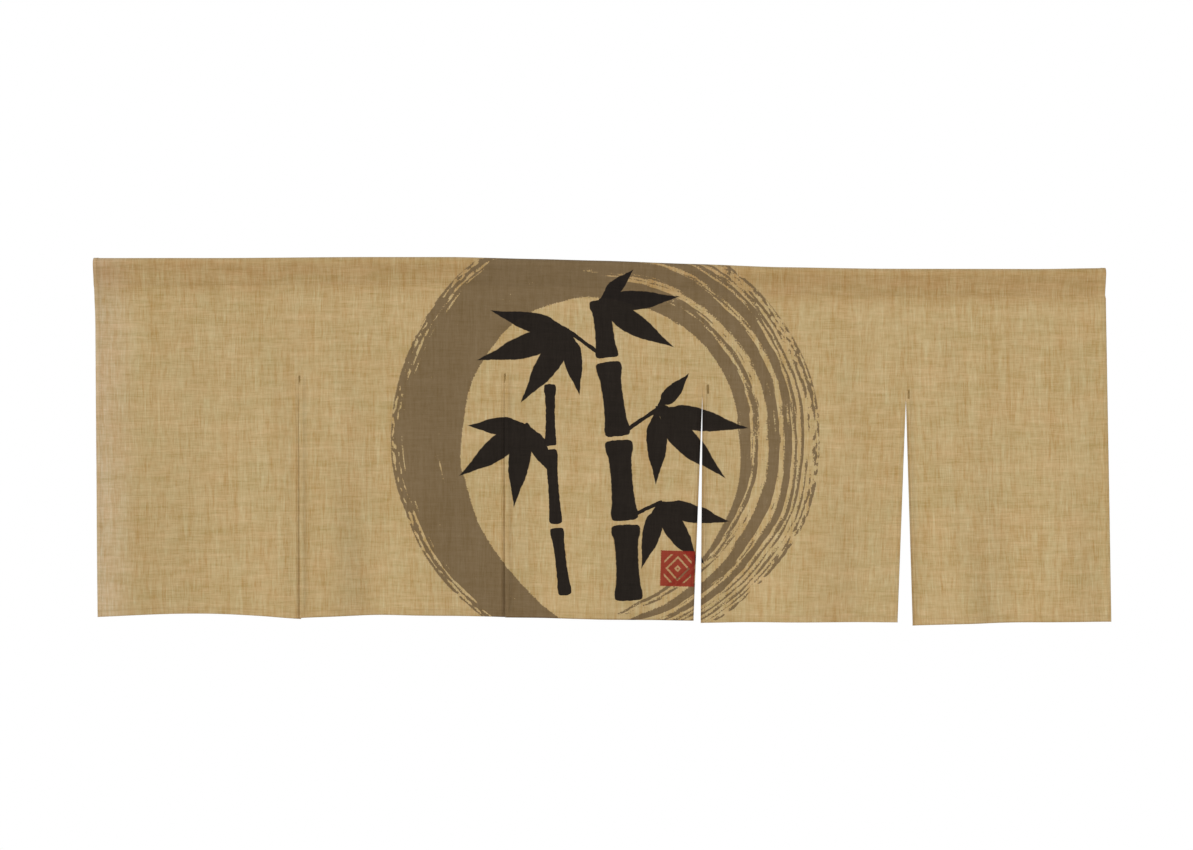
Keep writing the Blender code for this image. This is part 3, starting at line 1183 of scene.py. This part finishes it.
    @cached_property
    def tree(self) -> bpy.types.NodeTree:
        """The node group: a place on the flat cloth gives the paint's mask from 0 to 1."""
        graph, source, sink = shader_group("brush_ring", {"Place": Kind.VECTOR}, {"Mask": Kind.NUMBER})
        fine = graph.vector("SCALE", source["Place"], Scale=self.grain_scale)
        grain = graph.minus(graph.noise(fine), 0.5)
        heading, radius, turn = self.place(graph, source["Place"], grain)
        inner, outer, dry, rim_dry = self.profile(graph, turn)
        from_inner, band_width = graph.minus(radius, inner), graph.minus(outer, inner)
        band = graph.maths("DIVIDE", from_inner, band_width)
        past_inner = graph.step(band, -self.blur, self.blur)
        inside = graph.times(past_inner, graph.step(band, 1.0 + self.blur, 1.0 - self.blur))
        slide = graph.scale(turn, 0.62, 0.95, -0.13 * self.drift, 0.20 * self.drift)
        sway = graph.times(self.bristled(graph, heading, radius, self.sway), self.sway.strength)
        bristle = graph.plus(sway, graph.plus(band, slide))
        carried = graph.add("ShaderNodeFloatCurve", {"Value": bristle})
        set_curve(carried, self.LOAD)
        load = carried.outputs[0]
        for row in self.marks:
            load = graph.times_plus(self.bristled(graph, heading, radius, row), row.strength, load)
        load = graph.times_plus(grain, self.grain_load, load)
        rim = graph.step(band, self.rim_from, self.rim_to)
        patchy = self.bristled(graph, heading, radius, self.patches)
        patchy = graph.times(patchy, self.patches.strength)
        level = graph.scale(dry, 0.0, 1.0, self.wettest, self.driest)
        level = graph.times_plus(rim, graph.plus(patchy, rim_dry), level)
        dashes = self.bristled(graph, heading, radius, self.dashes)
        dashes = graph.times(dashes, self.dashes.strength)
        outermost = graph.step(band, self.dashes_from, self.dashes_to)
        level = graph.times_plus(outermost, dashes, level)
        painted = graph.step(graph.minus(load, level), -0.03, 0.03)
        graph.feed(sink["Mask"], graph.times(painted, inside))
        return graph.tree


class StrokeKind(Enum):
    """Outline of an ink stroke: points of its half width from root to tip, both from 0 to 1."""

    LEAF = (
        (0.0, 0.0), (0.02, 0.16), (0.07, 0.27), (0.15, 0.52), (0.32, 0.96), (0.50, 0.90), (0.76, 0.44),
        (0.94, 0.10), (1.0, 0.0),
    )
    STEM = (
        (0.0, 0.0), (0.015, 0.84), (0.06, 0.97), (0.25, 0.84), (0.75, 0.82), (0.94, 0.98), (0.985, 0.86),
        (1.0, 0.0),
    )


@dataclass(frozen=True)
class Stroke:
    """One stroke of the bamboo: its root from the ring's centre, its heading in degrees and its size."""

    kind: StrokeKind
    x: float
    y: float
    heading: float
    length: float
    half_width: float
    bend: float


LEAF, STEM = StrokeKind.LEAF, StrokeKind.STEM

# Columns: kind, root x and y, heading, length, half width, bend in half widths
BAMBOO = (
    Stroke(STEM, 0.046, -0.268, 94.0, 0.128, 0.0270, 0.0),
    Stroke(STEM, 0.036, -0.134, 96.0, 0.136, 0.0255, 0.0),
    Stroke(STEM, 0.021, 0.007, 98.5, 0.126, 0.0235, 0.0),
    Stroke(STEM, 0.001, 0.138, 97.0, 0.098, 0.0210, 0.0),
    Stroke(STEM, -0.066, -0.262, 98.0, 0.114, 0.0130, 0.0),
    Stroke(STEM, -0.083, -0.143, 94.5, 0.126, 0.0122, 0.0),
    Stroke(STEM, -0.093, -0.012, 91.0, 0.104, 0.0108, 0.0),
    Stroke(STEM, 0.026, 0.011, 38.0, 0.081, 0.0044, 0.8),
    Stroke(STEM, -0.004, 0.139, 143.0, 0.081, 0.0044, -0.8),
    Stroke(STEM, 0.042, -0.129, 30.0, 0.065, 0.0042, 0.8),
    Stroke(STEM, -0.095, -0.011, 141.0, 0.058, 0.0040, -0.8),
    Stroke(LEAF, 0.086, 0.058, -18.0, 0.160, 0.0215, -1.0),
    Stroke(LEAF, 0.086, 0.058, -50.0, 0.168, 0.0230, -0.7),
    Stroke(LEAF, 0.083, 0.056, -84.0, 0.132, 0.0195, 0.5),
    Stroke(LEAF, 0.086, 0.060, 40.0, 0.080, 0.0140, -0.8),
    Stroke(LEAF, 0.083, 0.060, -30.0, 0.044, 0.0120, 0.0),
    Stroke(LEAF, -0.066, 0.186, 175.0, 0.136, 0.0185, 0.9),
    Stroke(LEAF, -0.066, 0.185, 207.0, 0.166, 0.0225, 0.9),
    Stroke(LEAF, -0.064, 0.183, 241.0, 0.152, 0.0215, 0.5),
    Stroke(LEAF, -0.062, 0.182, 274.0, 0.112, 0.0175, -0.6),
    Stroke(LEAF, -0.063, 0.186, 225.0, 0.044, 0.0120, 0.0),
    Stroke(LEAF, 0.096, -0.100, -22.0, 0.120, 0.0180, -0.9),
    Stroke(LEAF, 0.095, -0.101, -59.0, 0.128, 0.0200, -0.5),
    Stroke(LEAF, 0.092, -0.102, -98.0, 0.118, 0.0175, 0.6),
    Stroke(LEAF, 0.091, -0.099, -60.0, 0.044, 0.0120, 0.0),
    Stroke(LEAF, -0.138, 0.025, 192.0, 0.098, 0.0165, 0.9),
    Stroke(LEAF, -0.138, 0.024, 226.0, 0.146, 0.0215, 0.8),
    Stroke(LEAF, -0.136, 0.023, 259.0, 0.146, 0.0200, -0.4),
    Stroke(LEAF, -0.133, 0.025, 293.0, 0.106, 0.0160, -0.7),
    Stroke(LEAF, -0.133, 0.026, 243.0, 0.044, 0.0120, 0.0),
    Stroke(LEAF, -0.010, 0.236, -3.0, 0.136, 0.0180, -1.0),
    Stroke(LEAF, -0.010, 0.234, -37.0, 0.148, 0.0210, -0.8),
    Stroke(LEAF, -0.010, 0.238, 36.0, 0.076, 0.0130, -0.8),
    Stroke(LEAF, -0.014, 0.236, 0.0, 0.044, 0.0120, 0.0),
)


@dataclass(frozen=True)
class InkBamboo:
    """Bamboo stalks and leaves in flat black ink, each stroke an outline along its own axis.

    A stroke's place is turned and scaled so that it runs from 0 to 1 with its half width as one unit. Its
    value is the outline's half width less the distance from the bent axis, and the largest value wins.
    """

    x: float
    y: float
    wobble: float = 0.0028
    wobble_scale: float = 120.0

    def stroke_group(self, kind: StrokeKind) -> bpy.types.NodeTree:
        """The node group of one kind of stroke: it adds a stroke to the ink so far."""
        inputs = {"Place": Kind.VECTOR, "Root": Kind.VECTOR, "Turn": Kind.VECTOR, "Size": Kind.VECTOR}
        inputs |= {"Bend": Kind.NUMBER, "Ink": Kind.NUMBER}
        graph, source, sink = shader_group(f"ink_{kind.name.lower()}", inputs, {"Ink": Kind.NUMBER})
        pairs = (("Vector", "Place"), ("Location", "Root"), ("Rotation", "Turn"), ("Scale", "Size"))
        fed = {socket: source[name] for socket, name in pairs}
        mapped = graph.add("ShaderNodeMapping", fed, vector_type="TEXTURE").outputs[0]
        along, aside, _ = graph.parts(mapped)
        curve = graph.add("ShaderNodeFloatCurve", {"Value": along})
        set_curve(curve, kind.value)
        bent = graph.times_plus(graph.times(along, along), source["Bend"], aside)
        value = graph.minus(curve.outputs[0], graph.maths("ABSOLUTE", bent))
        graph.feed(sink["Ink"], graph.maths("MAXIMUM", source["Ink"], value))
        return graph.tree

    @cached_property
    def tree(self) -> bpy.types.NodeTree:
        """The node group: a place on the flat cloth gives the ink's mask from 0 to 1."""
        graph, source, sink = shader_group("ink_bamboo", {"Place": Kind.VECTOR}, {"Mask": Kind.NUMBER})
        fine = graph.vector("MULTIPLY", source["Place"], (self.wobble_scale, self.wobble_scale, 0.0))
        noise = graph.add("ShaderNodeTexNoise", {"Vector": fine, "Scale": 1.0, "Detail": 2.0}).outputs[1]
        shift = graph.vector("SUBTRACT", noise, (0.5, 0.5, 0.5))
        shift = graph.vector("MULTIPLY", shift, (self.wobble, self.wobble, 0.0))
        place = graph.vector("ADD", graph.vector("SUBTRACT", source["Place"], (self.x, self.y, 0.0)), shift)
        groups = {kind: self.stroke_group(kind) for kind in StrokeKind}
        ink: Any = -1.0
        for stroke in BAMBOO:
            ink = graph.use(
                groups[stroke.kind],
                Place=place,
                Root=(stroke.x, stroke.y, 0.0),
                Turn=(0.0, 0.0, math.radians(stroke.heading)),
                Size=(stroke.length, stroke.half_width, 1.0),
                Bend=stroke.bend,
                Ink=ink,
            ).outputs[0]
        graph.feed(sink["Mask"], graph.step(ink, 0.02, 0.09))
        return graph.tree


@dataclass(frozen=True)
class RedStamp:
    """A small square stamp in red with nested pale diamonds and a worn edge."""

    x: float = 0.1430
    y: float = -0.5185
    half: float = 0.0305
    edge_wear: float = 0.10
    line_wear: float = 0.16
    line_turns: float = 12.5
    line_paleness: float = 0.74

    @cached_property
    def tree(self) -> bpy.types.NodeTree:
        """The node group: a place on the flat cloth gives the red's mask from 0 to 1."""
        graph, source, sink = shader_group("red_stamp", {"Place": Kind.VECTOR}, {"Mask": Kind.NUMBER})
        rough = graph.noise(graph.vector("MULTIPLY", source["Place"], (600.0, 600.0, 0.0)), detail=2.0)
        local = graph.vector("SUBTRACT", source["Place"], (self.x, self.y, 0.0))
        unit = graph.vector("MULTIPLY", local, (1.0 / self.half, 1.0 / self.half, 0.0))
        across, up, _ = graph.parts(unit)
        across, up = graph.maths("ABSOLUTE", across), graph.maths("ABSOLUTE", up)
        wear = graph.minus(rough, 0.5)
        edge = graph.times_plus(wear, self.edge_wear, graph.maths("MAXIMUM", across, up))
        square = graph.step(edge, 1.0, 0.96)
        ring = graph.times_plus(wear, self.line_wear, graph.plus(across, up))
        wave = graph.maths("SINE", graph.times(ring, self.line_turns))
        lines = graph.step(wave, 0.50, 0.85)
        field = graph.step(edge, 0.80, 0.76)
        pale = graph.times(graph.times(lines, field), self.line_paleness)
        graph.feed(sink["Mask"], graph.times(square, graph.minus(1.0, pale)))
        return graph.tree


@dataclass(frozen=True)
class Dyes:
    """Colours of the cloth and its print, as linear red, green and blue."""

    thread_light: tuple[float, ...] = (0.572, 0.434, 0.236, 1.0)
    thread_dark: tuple[float, ...] = (0.374, 0.242, 0.084, 1.0)
    hue_warm: tuple[float, ...] = (1.048, 0.970, 0.950, 1.0)
    hue_cool: tuple[float, ...] = (0.952, 1.030, 1.050, 1.0)
    ring_light: tuple[float, ...] = (0.198, 0.137, 0.073, 1.0)
    ring_dark: tuple[float, ...] = (0.148, 0.096, 0.042, 1.0)
    ink_light: tuple[float, ...] = (0.014, 0.010, 0.008, 1.0)
    ink_dark: tuple[float, ...] = (0.007, 0.005, 0.004, 1.0)
    red_light: tuple[float, ...] = (0.290, 0.026, 0.015, 1.0)
    red_dark: tuple[float, ...] = (0.205, 0.013, 0.007, 1.0)
    seam_light: tuple[float, ...] = (0.440, 0.312, 0.150, 1.0)
    seam_dark: tuple[float, ...] = (0.350, 0.236, 0.104, 1.0)
    tack_light: tuple[float, ...] = (0.340, 0.215, 0.070, 1.0)
    tack_dark: tuple[float, ...] = (0.260, 0.155, 0.045, 1.0)
    # Doubled layers look darker; this colour also paints the shade of the sleeve and the hems
    double_layer_and_shade: tuple[float, ...] = (0.885, 0.812, 0.740, 1.0)
    # Painted shade along the free edges of the cloth
    edge_shade_line: tuple[float, ...] = (0.760, 0.730, 0.700, 1.0)
    # Painted light: the left side edge is washed paler and bluer
    painted_edge_light: tuple[float, ...] = (1.045, 1.070, 1.270, 1.0)


@dataclass(frozen=True)
class Print:
    """The printed design: the ring, the bamboo over it and the stamp, each in its own dye."""

    ring: BrushRing
    bamboo: InkBamboo
    stamp: RedStamp
    dyes: Dyes

    def over(self, graph: Graph, place: Socket, tone: Socket, colour: Any, strength: float) -> Socket:
        """A colour with the print on it.

        Args:
            graph: the material's graph.
            place: the place on the flat cloth.
            tone: how pale the threads are there, from 0 to 1.
            colour: the colour before printing.
            strength: how strong the print is, from 0 to 1.

        Returns:
            The printed colour.
        """
        dyes = self.dyes
        prints = (
            (self.ring.tree, dyes.ring_dark, dyes.ring_light, 0.97),
            (self.bamboo.tree, dyes.ink_dark, dyes.ink_light, 0.99),
            (self.stamp.tree, dyes.red_dark, dyes.red_light, 0.94),
        )
        for tree, dark, light, cover in prints:
            mask = graph.use(tree, Place=place).outputs["Mask"]
            share = graph.times(mask, cover * strength)
            colour = graph.blend(share, colour, graph.blend(tone, dark, light))
        return colour


@dataclass(frozen=True)
class ClothFinish:
    """The finish of a cloth face: weave, print, darker double layers, painted shade and light, matt
    threads.
    """

    name: str
    print_strength: float
    weave: LinenWeave
    design: Print
    dyes: Dyes
    roughness: float = 0.92
    sheen: float = 0.05
    bump_height: float = 0.00025
    shade_span: float = 0.080
    edge_width: float = 0.0046
    # Painted light along the left side edge: full up to the nearer distance, gone by the farther
    edge_light_span: tuple[float, float] = (0.085, 0.010)
    patch_scale: tuple[float, ...] = (17.0, 46.0, 1.0)
    patch_strength: float = 1.90
    patch_slope: float = 0.22
    patch_level: float = 0.04
    hem_blur: float = 0.0004
    # Painted shade of the hems and their turned edges, over the darker look of the doubled cloth
    side_hem_shade: float = 0.55
    turned_shade: float = 0.15
    bottom_hem_shade: float = 0.15

    # Painted shade of the sleeve below its rounded top, over the darker look of its doubled layers
    # Columns: run down from the top edge as a share of the shaded span, darkness of the sleeve there
    SLEEVE_SHADE = (
        (0.00, 0.00),
        (0.05, 0.12),
        (0.11, 0.55),
        (0.17, 0.95),
        (0.24, 1.05),
        (0.36, 1.05),
        (0.44, 0.84),
        (0.55, 0.70),
        (0.63, 0.70),
        (0.70, 0.56),
        (0.78, 0.36),
        (0.90, 0.12),
        (1.00, 0.00),
    )

    def layers(self, graph: Graph, place: Socket) -> tuple[Socket, Socket, Socket]:
        """Where the cloth lies double with painted shade, and the painted shade line along its free edges.

        Args:
            graph: the material's graph.
            place: the place on the flat cloth.

        Returns:
            Masks of the sleeve and of the hems, each doubled layers with painted shade, and of the edges'
            painted shade line.
        """
        edges = graph.add("ShaderNodeAttribute", attribute_name="edges").outputs["Vector"]
        side, bottom, shade = graph.parts(edges)
        x, run, _ = graph.parts(place)
        # Painted shade of the sleeve, uneven across and darker towards the right
        band = graph.add("ShaderNodeFloatCurve", {"Value": graph.maths("DIVIDE", run, -self.shade_span)})
        set_curve(band, self.SLEEVE_SHADE)
        patches = graph.noise(graph.vector("MULTIPLY", place, self.patch_scale), detail=3.0)
        sloped = graph.times_plus(x, self.patch_slope, self.patch_level)
        uneven = graph.times_plus(patches, self.patch_strength, sloped)
        sleeve = graph.times(band.outputs[0], uneven)
        # Painted shade of the side hems, darkest along the turned edge, and of the bottom hem
        side_hem = graph.step(side, HEM_WIDTH + self.hem_blur, HEM_WIDTH - self.hem_blur)
        side_hem = graph.times(side_hem, self.side_hem_shade)
        turned = graph.maths(
            "MULTIPLY",
            graph.step(side, HEM_WIDTH + 0.0006, HEM_WIDTH - 0.0002),
            graph.step(side, HEM_WIDTH - 0.0022, HEM_WIDTH - 0.0014),
        )
        side_hem = graph.times_plus(turned, self.turned_shade, side_hem)
        side_hem = graph.times(side_hem, shade)
        bottom_hem = graph.step(bottom, BOTTOM_HEM + self.hem_blur, BOTTOM_HEM - self.hem_blur)
        bottom_hem = graph.times(bottom_hem, self.bottom_hem_shade)
        # Painted shade lines along the side edges and the bottom edge
        lines = graph.add("ShaderNodeAttribute", attribute_name="lines").outputs["Vector"]
        side_line, bottom_line, _ = graph.parts(lines)
        width = self.edge_width
        side_line = graph.times(side_line, graph.step(side, width, width * 0.6))
        bottom_line = graph.times(bottom_line, graph.step(bottom, width * 0.7, width * 0.3))
        hems = graph.maths("MAXIMUM", side_hem, bottom_hem)
        return sleeve, hems, graph.maths("MAXIMUM", side_line, bottom_line)

    def colour(self, graph: Graph, place: Socket, weave: bpy.types.Node) -> Socket:
        """The cloth's colour with its print, thread by thread, with painted shade and a painted lighter
        left edge.
        """
        dyes = self.dyes
        tone = weave.outputs["Tone"]
        colour = graph.blend(tone, dyes.thread_dark, dyes.thread_light)
        hue = graph.blend(weave.outputs["Hue"], dyes.hue_warm, dyes.hue_cool)
        colour = graph.blend(1.0, colour, hue, "MULTIPLY")
        # Painted light: paler and bluer towards the left side edge
        from_side = graph.minus(graph.parts(place)[0], EDGES[0].x)
        colour = graph.tint(graph.step(from_side, *self.edge_light_span), colour, dyes.painted_edge_light)
        sleeve, hems, line = self.layers(graph, place)
        # Painted shade of the sleeve with its doubled layers, under the print
        colour = graph.tint(sleeve, colour, dyes.double_layer_and_shade)
        colour = self.design.over(graph, place, tone, colour, self.print_strength)
        # Painted shade of the hems, then the painted shade line along the free edges
        return graph.tint(line, graph.tint(hems, colour, dyes.double_layer_and_shade), dyes.edge_shade_line)

    @cached_property
    def material(self) -> bpy.types.Material:
        """The material, with its colour and bump worked out from the flat cloth's places."""
        material = bpy.data.materials.new(self.name)
        material.use_nodes = True
        graph = Graph(material.node_tree)
        shader = material.node_tree.nodes["Principled BSDF"]
        shader.inputs["Roughness"].default_value = self.roughness
        shader.inputs["Sheen Weight"].default_value = self.sheen
        shader.inputs["Sheen Roughness"].default_value = 0.6
        shader.inputs["Specular IOR Level"].default_value = 0.10
        place = graph.add("ShaderNodeUVMap", uv_map="cloth").outputs[0]
        weave = graph.use(self.weave.tree, Place=place)
        bump = graph.add("ShaderNodeBump", {"Height": weave.outputs["Height"], "Strength": 0.5})
        bump.inputs["Distance"].default_value = self.bump_height
        graph.feed(shader.inputs["Base Color"], self.colour(graph, place, weave))
        graph.feed(shader.inputs["Normal"], bump.outputs[0])
        return material


@dataclass(frozen=True)
class ThreadFinish:
    """Matt twisted sewing thread: a dull colour that varies a little, under the cloth's own print."""

    name: str
    light: tuple[float, ...]
    dark: tuple[float, ...]
    design: Print
    roughness: float = 0.85
    patch: float = 0.006
    ply: float = 0.0006

    @cached_property
    def material(self) -> bpy.types.Material:
        """The material: two colours in patches, with the thread's plies as slanting bump."""
        material = bpy.data.materials.new(self.name)
        material.use_nodes = True
        graph = Graph(material.node_tree)
        shader = material.node_tree.nodes["Principled BSDF"]
        shader.inputs["Roughness"].default_value = self.roughness
        shader.inputs["Specular IOR Level"].default_value = 0.10
        place = graph.add("ShaderNodeTexCoord").outputs["Object"]
        patches = graph.noise(graph.vector("SCALE", place, Scale=1.0 / self.patch), detail=1.0)
        x, _, z = graph.parts(graph.vector("SCALE", place, Scale=2.0 * math.pi / self.ply))
        plies = graph.maths("SINE", graph.plus(x, z))
        bump = graph.add("ShaderNodeBump", {"Height": plies, "Strength": 0.5})
        bump.inputs["Distance"].default_value = 0.0001
        shade = graph.scale(patches, 0.30, 0.70, 0.0, 1.0)
        flat = graph.add("ShaderNodeUVMap", uv_map="cloth").outputs[0]
        colour = self.design.over(graph, flat, shade, graph.blend(shade, self.dark, self.light), 1.0)
        graph.feed(shader.inputs["Base Color"], colour)
        graph.feed(shader.inputs["Normal"], bump.outputs[0])
        return material


@dataclass(frozen=True)
class Studio:
    """Camera, lights, pale surroundings and a pale floor at the height of a doorway below the cloth."""

    floor_drop: float = 1.95
    floor_size: float = 7.0
    camera_distance: float = 4.5
    view_width: float = 2.002
    centre_x: float = -0.0031
    centre_z: float = -0.2759
    roll: float = math.radians(-0.43)
    sensor: float = 36.0

    def camera(self) -> None:
        """A level camera in front of the cloth, rolled by the photograph's small tilt."""
        data = bpy.data.cameras.new("camera")
        data.sensor_width = self.sensor
        data.lens = self.sensor * self.camera_distance / self.view_width
        camera = bpy.data.objects.new("camera", data)
        camera.location = (self.centre_x, -self.camera_distance, self.centre_z)
        level = Matrix.Rotation(math.pi / 2, 3, "X")
        camera.rotation_euler = (Matrix.Rotation(self.roll, 3, "Y") @ level).to_euler()
        bpy.context.scene.collection.objects.link(camera)
        bpy.context.scene.camera = camera

    def softbox(self, name: str, place: tuple[float, float, float], size: float, power: float) -> None:
        """A square light that faces the middle of the cloth.

        Args:
            name: the light's name.
            place: where it stands.
            size: its width.
            power: its power in watts.
        """
        data = bpy.data.lights.new(name, "AREA")
        data.size = size
        data.energy = power
        light = bpy.data.objects.new(name, data)
        light.location = place
        aim = Vector((0.0, 0.0, self.centre_z)) - Vector(place)
        light.rotation_euler = aim.to_track_quat("-Z", "Y").to_euler()
        bpy.context.scene.collection.objects.link(light)

    def world(self, seen: float, cast: float) -> None:
        """White surroundings.

        Args:
            seen: how bright they look.
            cast: how strongly they light the cloth.
        """
        world = bpy.data.worlds.new("studio")
        world.use_nodes = True
        bpy.context.scene.world = world
        graph = Graph(world.node_tree)
        background = world.node_tree.nodes["Background"]
        background.inputs["Color"].default_value = (1.0, 1.0, 1.0, 1.0)
        direct = graph.add("ShaderNodeLightPath").outputs["Is Camera Ray"]
        graph.feed(background.inputs["Strength"], graph.scale(direct, 0.0, 1.0, cast, seen))

    def floor(self) -> None:
        """A pale, plain floor."""
        bpy.ops.mesh.primitive_plane_add(size=self.floor_size, location=(0.0, 0.0, -self.floor_drop))
        floor = bpy.context.object
        floor.name = "floor"
        material = bpy.data.materials.new("floor")
        material.use_nodes = True
        shader = material.node_tree.nodes["Principled BSDF"]
        shader.inputs["Base Color"].default_value = (0.82, 0.81, 0.79, 1.0)
        shader.inputs["Roughness"].default_value = 0.8
        floor.data.materials.append(material)

    def build(self) -> None:
        """Set up the whole studio."""
        self.camera()
        self.world(seen=1.0, cast=0.33)
        self.softbox("key", (-14.0, -14.0, 8.0), 6.0, 2500.0)
        self.softbox("fill", (3.4, -6.2, 1.2), 2.6, 165.0)
        self.softbox("back", (2.4, 5.0, 1.6), 2.6, 150.0)
        self.floor()
        bpy.context.scene.view_settings.view_transform = "Standard"


def main() -> None:
    """Build the noren and its studio, and report each piece."""
    logging.basicConfig(level=logging.INFO, format="%(name)s: %(message)s")
    weave, ring, dyes = LinenWeave(), BrushRing(), Dyes()
    design = Print(ring, InkBamboo(ring.x, ring.y), RedStamp(), dyes)
    front = ClothFinish("printed_face", 1.0, weave, design, dyes)
    back = ClothFinish("plain_face", 0.55, weave, design, dyes)
    cloth = NorenCloth(Drape(), ClothGrid())
    sheet = cloth.build(front.material, back.material)
    thread = ThreadFinish("thread", dyes.seam_light, dyes.seam_dark, design)
    tack_thread = ThreadFinish("tack_thread", dyes.tack_light, dyes.tack_dark, design)
    sewing = Sewing(cloth.drape, cloth.hem_thickness / 2.0).build(thread.material, tack_thread.material)
    for piece in (sheet, *sewing):
        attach(piece, BODY)
        log.info("%s: %d faces, rides on %s", piece.name, len(piece.data.polygons), BODY)
    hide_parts(CLOTH_NODE, SLEEVE_NODE)
    Studio().build()


if __name__ == "__main__":
    main()
